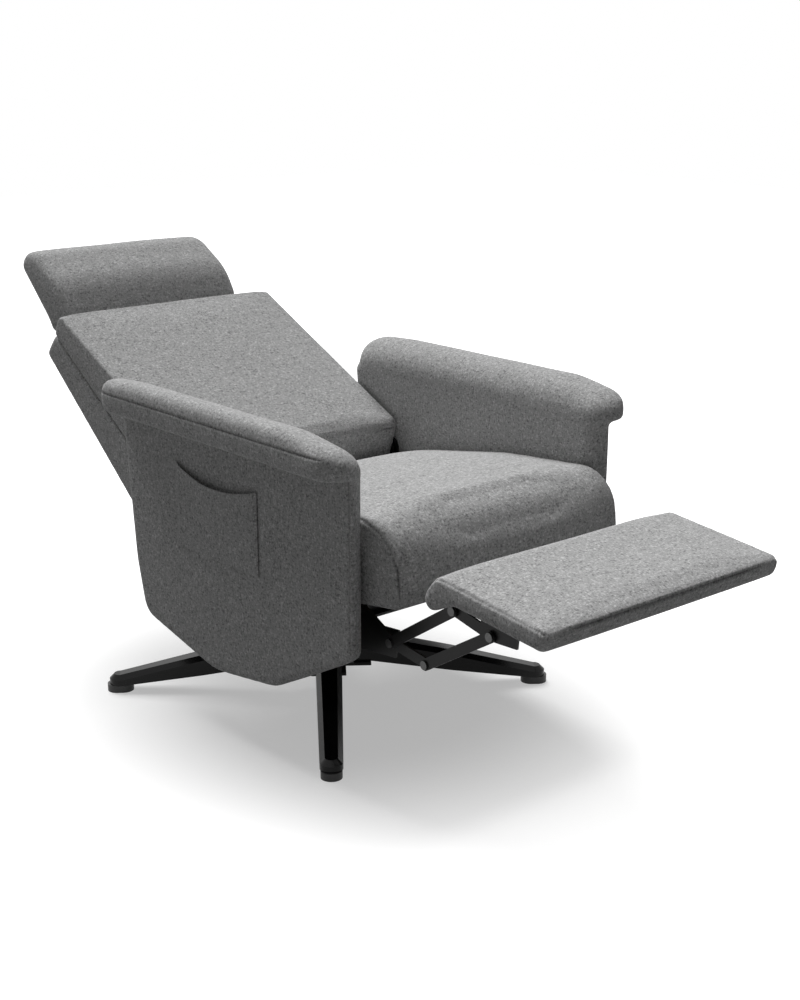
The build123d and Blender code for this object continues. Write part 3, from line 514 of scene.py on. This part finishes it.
def seat_section(fullness):
    rise, bulge, edge = 10.0 * fullness, 5.0 * fullness, 2.0 * (1 - fullness)
    return [
        (-edge, 2.0),
        (-edge, seat_thickness - 8.0 + rise / 2),
        (-110.0, seat_thickness + 9.0 + rise),
        (-330.0, seat_thickness + 13.0 + rise),
        (-seat_depth - 7.0 - bulge, seat_thickness - seat_front_drop + rise / 2),
        (-seat_depth - 3.0, 2.0),
    ]


seat = stuffed(
    "seat_cover", seat_half, seat_section, [6, 26, 260, 320, 88, 22],
    seat_heel, -seat_pitch, side_round=10.0, bow=1.0,
)
even(seat, voxel=5.5, smooth=2, out=0.8)
seat_top_rim = [(-8, 138), (-110, 153), (-330, 158), (-450, 153), (-510, 144)]
seat_front_rim = [(-548, 128), (-572, 104), (-584, 72), (-584, 14)]
seat_rim = turn(seat_heel, -seat_pitch, seat_top_rim + seat_front_rim)
seat_lines = [metres(sign * (seat_half - 2), seat_rim) for _, sign in SIDES]
inflate(seat, seat_lines, cap=5.0, hold=lambda p, n: n.z < -0.6 or p.y > 0.05)
ripple(seat, size=190.0, height=1.2, seed=3.1)
finer(seat)
stitch(seat, seat_lines, depth=1.8, width=3.5, lip=0.6)
dress(seat, "carriage", "seat_cushion", fill=0.8)

# ------------------------------------------------------------------ back cushion and its outer shell
# The two meet in a flat seam that comes nearer to the cushion's face upwards, by seam_slope degrees.
back_pivot, back_angle, back_length, back_front = (114.0, 412.0), 25.7, 490.0, 65.0
seam_run, seam_slope = 520.0, 8.0
seam_angle = back_angle + seam_slope
seam_low = back_front - 45.0 - seam_run * tan(radians(seam_slope))
seam_foot = turn(back_pivot, back_angle, [(-30.0, seam_low)])[0]
seam_length = seam_run / cos(radians(seam_slope))
piping_half = 244.0


def back_section(fullness):
    rise, edge = 4.0 * fullness, 2.5 * (1 - fullness)
    return [
        (-1.0 + edge, back_front + rise),
        (back_length - edge, back_front + rise / 2),
        (back_length + 1.0 - edge, back_front - 44.0),
        (-29.0 + edge, seam_low + 1.5),
        (-14.0 + edge - rise / 2, back_front - 62.0),
    ]


back = stuffed(
    "back_cover", 251.5, back_section, [16, 8, 4, 6, 60],
    back_pivot, back_angle, side_round=4.0, bow=1.0,
)
even(back, voxel=5.0, smooth=2, out=0.8)
front_rim = turn(back_pivot, back_angle, [(4, back_front - 3), (back_length - 3, back_front - 2)])
top_rim, low_rim = turn(back_pivot, back_angle, [(back_length - 2, back_front - 2), (-2, back_front - 12)])
back_lines = [metres(sign * piping_half, front_rim) for _, sign in SIDES]
back_lines += [across(top_rim, piping_half), across(low_rim, piping_half + 2)]
inflate(back, back_lines, cap=5.0, hold=lambda p, n: n.z < -0.5)
ripple(back, size=210.0, height=0.9, seed=7.7)
finer(back)
stitch(back, back_lines, depth=1.3, width=3.0, lip=0.8)
dress(back, "back", "back_cushion", fill=0.8)


def shell_section(fullness):
    sag = 3.0 * fullness
    return [(1.0, -1.0), (seam_length - 1.0, -1.0), (seam_length + 5.5, -55.0 - sag), (38.0, -103.0 - sag)]


shell = stuffed(
    "outer_back", 251.0, shell_section, [4, 4, 7, 14],
    seam_foot, seam_angle, side_round=4.0, bow=1.0,
)
even(shell, voxel=5.5, smooth=2, out=0.6)
shell_rim = turn(seam_foot, seam_angle, [(42, -94), (seam_length, -50)])
shell_lines = [metres(sign * piping_half, shell_rim) for _, sign in SIDES]
finer(shell)
stitch(shell, shell_lines, depth=1.2, width=3.0, lip=0.6)
dress(shell, "back", "back_shell", fill=0.6)

# ------------------------------------------------------------------ headrest
hinge = turn(back_pivot, back_angle, [(back_length + 27.0, 0.0)])[0]
headrest_angle = 43.0


def headrest_section(fullness):
    rise, edge = 6.0 * fullness, 3.0 * (1 - fullness)
    return [
        (16.0, edge / 3 - 35.0),
        (208.0, edge / 3 - 35.0),
        (210.0, 7.0 + rise / 2),
        (178.0, 26.0 + rise),
        (84.0, 50.0 + rise - edge / 2),
        (14.0, 34.0 - edge / 2),
    ]


headrest = stuffed(
    "headrest_cover", 211.0, headrest_section, [12, 26, 26, 60, 130, 18],
    hinge, headrest_angle, side_round=20.0, bow=4.0,
)
even(headrest, voxel=4.5, smooth=3, out=1.0)
ripple(headrest, size=130.0, height=1.2, seed=1.3)
finer(headrest)
dress(headrest, "headrest", "headrest_pad", fill=0.9)

# ------------------------------------------------------------------ footrest
foot_edge, foot_angle = (-605.0, 438.0), 6.1


def footrest_section(fullness):
    rise, edge = 8.0 * fullness, 2.0 * (1 - fullness)
    return [
        (3.0 - edge, rise),
        (30.0 - edge, -44.0),
        (10.0, -65.0 + edge),
        (-30.0, -34.0),
        (-230.0 + edge, -34.0),
        (-237.0 + edge - rise / 3, rise * 0.7),
    ]


footrest = stuffed(
    "footrest_cover", 267.5, footrest_section, [30, 14, 10, 12, 12, 13],
    foot_edge, foot_angle, side_round=11.0, bow=2.0,
)
even(footrest, voxel=4.5, smooth=2, out=1.0)
foot_rim = turn(foot_edge, foot_angle, [(20, -26), (0, -3), (-233, -4)])
foot_front = turn(foot_edge, foot_angle, [(-235, -4)])[0]
foot_lines = [metres(sign * 263.5, foot_rim) for _, sign in SIDES] + [across(foot_front, 262.0)]
inflate(footrest, foot_lines, cap=5.0, hold=lambda p, n: n.z < -0.3)
ripple(footrest, size=160.0, height=0.9, seed=5.1)
finer(footrest)
stitch(footrest, foot_lines, depth=1.4, width=3.0, lip=0.6)
dress(footrest, "footrest", "footrest_pad", fill=0.7)

# ------------------------------------------------------------------ arms
arm_inner, arm_thickness = 258.0, 38.0
arm_outline = [(-440, 566), (-438, 258), (-222, 146), (-46, 122), (178, 172), (202, 272), (231, 566)]
arm_radii = [6, 14, 70, 160, 40, 120, 6]
roll_half, roll_low, roll_high = 44.0, 556.5, 621.5
roll_front, roll_rear, roll_fall = -447.5, 241.5, 26.0
roll_crest, roll_belly, roll_waist = 20.0, 592.0, 566.0
front_dip, rear_dip, dip_reach = 22.0, 7.0, 125.0
roll_x = arm_inner + roll_half
roll_seam = 594.0


def panel_rings(sign):
    """Arm panel from its inner to its outer face, with rounded edges."""
    outline = resample(fillet(arm_outline, arm_radii), 420)
    low, high, edge, steps = arm_inner + 0.5, arm_inner + arm_thickness - 0.5, 9.0, 5
    turns = [radians(90 * k / steps) for k in range(steps + 1)]
    stations = [(low + edge * (1 - cos(t)), edge * (1 - sin(t))) for t in turns]
    stations += [(high - edge * (1 - cos(t)), edge * (1 - sin(t))) for t in reversed(turns)]
    rings = [(x, drawn_in(outline, inset)) for x, inset in stations]
    return [[turned_back(sign * x, p.x, p.y) for p in ring] for x, ring in rings]


def turned_back(x, y, z):
    """A panel's point, with the front edge rounded back towards the inner face."""
    front, blend, radius = -398.0, 42.0, 34.0
    share = min(1.0, max(0.0, 1 - (abs(x) - arm_inner) / radius))
    near = min(1.0, max(0.0, (front - y) / blend))
    return (x, y + radius * (1 - (1 - share**2) ** 0.5) * near, z)


def roll_ring(sign, y, scale):
    """Section with its crest towards the outside and a wide round down to the inner face."""
    full, square = 0.85, 0.5  # exponents that bulge a quarter circle
    reach, dip = min((y - roll_front, front_dip), (roll_rear - y, rear_dip))
    sink = roll_fall * (1 - scale) + dip * (1 - min(reach, dip_reach) / dip_reach) ** 1.2
    high, low = roll_high - sink, roll_low + roll_fall * (1 - scale) * 0.2
    tall = (high - low) / (roll_high - roll_low)
    belly, waist = (low + tall * (z - roll_low) for z in (roll_belly, roll_waist))
    outer, inner = roll_half - roll_crest, roll_half + roll_crest
    turns = [radians(t) for t in range(0, 91, 5)]
    ring = [(roll_crest + outer * cos(t) ** full, belly + (high - belly) * sin(t) ** full) for t in turns]
    ring += [(roll_crest - inner * sin(t), waist + (high - waist) * cos(t)) for t in turns[1:]]
    ring += [(-roll_half, low), (roll_crest, low)]
    under = [(outer * sin(t) ** square, (belly - low) * cos(t) ** square) for t in turns[1:-1]]
    ring += [(roll_crest + x, belly - z) for x, z in under]
    even_ring = resample([Vector((x * scale, z)) for x, z in ring], 120)
    return [(sign * (roll_x + p.x), y, p.y) for p in even_ring]


def roll_rings(sign):
    """Roll from its half-round front end to its half-round rear end."""
    turns = [radians(t) for t in (5, 12, 20, 30, 42, 56, 73)]
    ends = [(roll_half * (1 - cos(t)), sin(t)) for t in turns]
    steps = 60
    run = roll_rear - roll_front - 2 * roll_half
    rings = [roll_ring(sign, roll_front + reach, scale) for reach, scale in ends]
    rings += [roll_ring(sign, roll_front + roll_half + run * k / steps, 1.0) for k in range(steps + 1)]
    return rings + [roll_ring(sign, roll_rear - reach, scale) for reach, scale in reversed(ends)]


def joined(body, other):
    both = [body, other]
    with bpy.context.temp_override(
        object=body, active_object=body, selected_objects=both, selected_editable_objects=both
    ):
        bpy.ops.object.join()


def roll_seam_line(sign):
    """Seam along the roll's outer side and round both of its ends."""
    turns = [radians(t) for t in range(-60, 91, 10)]
    front = [(roll_x + (roll_half - 0.5) * sin(t), roll_front + roll_half * (1 - cos(t))) for t in turns]
    rear = [(x, roll_rear + roll_front - y) for x, y in reversed(front)]
    return [(sign * x * MM, y * MM, roll_seam * MM) for x, y in front + rear]


for side, sign in SIDES:
    arm = skin(f"arm_cover_{side}", panel_rings(sign))
    joined(arm, skin("roll", roll_rings(sign)))
    even(arm, voxel=4.5, smooth=3, out=0.7)
    ripple(arm, size=120.0, height=0.6, seed=2.0 + sign)
    finer(arm)
    front_seam = metres(sign * (arm_inner + arm_thickness), [(-435, 553), (-434, 262)])
    stitch(arm, [front_seam, roll_seam_line(sign)], depth=1.7, width=2.8, lip=0.2)
    dress(arm, "carriage", f"arm_panel_{side}", f"arm_roll_{side}", fill=0.5)

# ------------------------------------------------------------------ side pocket
pocket_front, pocket_rear, pocket_low = -195.0, 50.0, 336.0
mouth_height, mouth_rise, mouth_sag = 487.0, 6.0, 21.0
pocket_face, rear_lift, seam_lift, mouth_lift = 298.0, 0.4, 3.0, 6.5
cloth_thickness = 1.6


def pocket_point(u, v):
    """Point of the pocket at a share u of its width and v of its height, standing off the arm's panel."""
    y = pocket_front + (pocket_rear - pocket_front) * u
    top = mouth_height + mouth_rise * u - mouth_sag * (1 - (2 * u - 1) ** 2)
    z = pocket_low + (top - pocket_low) * v
    front, rear, foot = min(1.0, u / 0.04), min(1.0, (1 - u) / 0.35), min(1.0, v / 0.3)
    belly = sin(pi * min(1.0, u / 0.85 * 0.62 + 0.12))
    lift = seam_lift * front + mouth_lift * belly * v**2 * front * rear
    return (-(pocket_face + (lift * foot if u < 0.96 else rear_lift)), y, z)


def pocket():
    """Patch pocket with a sagging mouth."""
    across_count, up_count = 60, 44
    bm = bmesh.new()
    grid = []
    for j in range(up_count + 1):
        points = [pocket_point(i / across_count, j / up_count) for i in range(across_count + 1)]
        grid.append([bm.verts.new(Vector(p) * MM) for p in points])
    for a, b in zip(grid, grid[1:]):
        for i in range(across_count):
            bm.faces.new((a[i], b[i], b[i + 1], a[i + 1]))
    bmesh.ops.recalc_face_normals(bm, faces=bm.faces)
    thing = new_object("pocket", bm)
    modified(thing, "SOLIDIFY", thickness=cloth_thickness * MM, offset=0.0)
    finer(thing)
    return thing


side_pocket = pocket()
cover(side_pocket, "carriage", "side_pocket")

# ------------------------------------------------------------------ floor, sky and lamp, in metres
floor_half = 9.0
floor_seen, floor_bounced = (0.60, 0.60, 0.60, 1), (0.22, 0.22, 0.22, 1)
# Painted light on the floor: its glow rises from glow_inside to glow_outside between these radii and washes
# the cast shadow out.
shadow_inside, shadow_outside = 0.30, 0.95  # the floor's shadow fades out between these radii
glow_inside, glow_outside = 0.42, 1.0
sky_light, sky_seen = 0.10, 1.0
sun_strength, sun_width, sun_from = 3.2, 42, (0.12, 0.50, 0.90)


def maker(tree):
    """Two short hands for a node tree: one adds a node, the other makes a link."""
    tree.nodes.clear()
    return tree.nodes.new, tree.links.new


def seen_directly(add, link):
    """1 for what the camera sees straight, in a reflection or through a piece, else 0."""
    path = add("ShaderNodeLightPath")
    seen = path.outputs["Is Camera Ray"]
    for kind in ("Is Glossy Ray", "Is Transmission Ray"):
        larger = add("ShaderNodeMath")
        larger.operation = "MAXIMUM"
        link(seen, larger.inputs[0])
        link(path.outputs[kind], larger.inputs[1])
        seen = larger.outputs[0]
    return seen


def floor_paint():
    """White floor with painted light: a glow, for rays that see the floor directly or in a reflection, grows
    away from the base and paints the chair's shadow out there, so the shadow stays near the base; it throws
    little light back up.
    """
    paint = bpy.data.materials.new("floor_white")
    paint.use_nodes = True
    add, link = maker(paint.node_tree)
    away = add("ShaderNodeVectorMath")
    away.operation = "LENGTH"
    link(add("ShaderNodeNewGeometry").outputs["Position"], away.inputs[0])
    fade = add("ShaderNodeMapRange")
    fade.interpolation_type = "SMOOTHSTEP"
    fade.inputs["From Min"].default_value = shadow_inside
    fade.inputs["From Max"].default_value = shadow_outside
    fade.inputs["To Min"].default_value = glow_inside
    fade.inputs["To Max"].default_value = glow_outside
    link(away.outputs["Value"], fade.inputs["Value"])
    # Painted light: the floor's glow, weaker near the base and brighter farther out.
    glow = add("ShaderNodeEmission")
    link(fade.outputs["Result"], glow.inputs["Strength"])
    bright, dim = add("ShaderNodeBsdfDiffuse"), add("ShaderNodeBsdfDiffuse")
    bright.inputs["Color"].default_value = floor_seen
    dim.inputs["Color"].default_value = floor_bounced
    total = add("ShaderNodeAddShader")
    link(bright.outputs[0], total.inputs[0])
    link(glow.outputs[0], total.inputs[1])
    choose = add("ShaderNodeMixShader")
    link(seen_directly(add, link), choose.inputs[0])
    link(dim.outputs[0], choose.inputs[1])
    link(total.outputs[0], choose.inputs[2])
    link(choose.outputs[0], add("ShaderNodeOutputMaterial").inputs["Surface"])
    return paint


def lay_floor():
    bm = bmesh.new()
    corners = ((-1, -1), (1, -1), (1, 1), (-1, 1))
    bm.faces.new([bm.verts.new((x * floor_half, y * floor_half, 0.0)) for x, y in corners])
    floor = new_object("floor", bm)
    floor.data.materials.append(floor_paint())


def hang_sky():
    world = bpy.data.worlds.new("studio")
    scene.world = world
    world.use_nodes = True
    add, link = maker(world.node_tree)
    strength = add("ShaderNodeMapRange")
    strength.inputs["To Min"].default_value = sky_light
    strength.inputs["To Max"].default_value = sky_seen
    link(seen_directly(add, link), strength.inputs["Value"])
    sky = add("ShaderNodeBackground")
    sky.inputs["Color"].default_value = (1, 1, 1, 1)
    link(strength.outputs[0], sky.inputs["Strength"])
    link(sky.outputs[0], add("ShaderNodeOutputWorld").inputs["Surface"])


def light_lamp():
    data = bpy.data.lights.new("key", "SUN")
    data.energy = sun_strength
    data.angle = radians(sun_width)
    key = bpy.data.objects.new("key", data)
    key.rotation_euler = Vector(sun_from).to_track_quat("Z", "Y").to_euler()
    scene.collection.objects.link(key)


lay_floor()
hang_sky()
light_lamp()
scene.view_settings.view_transform = "Standard"
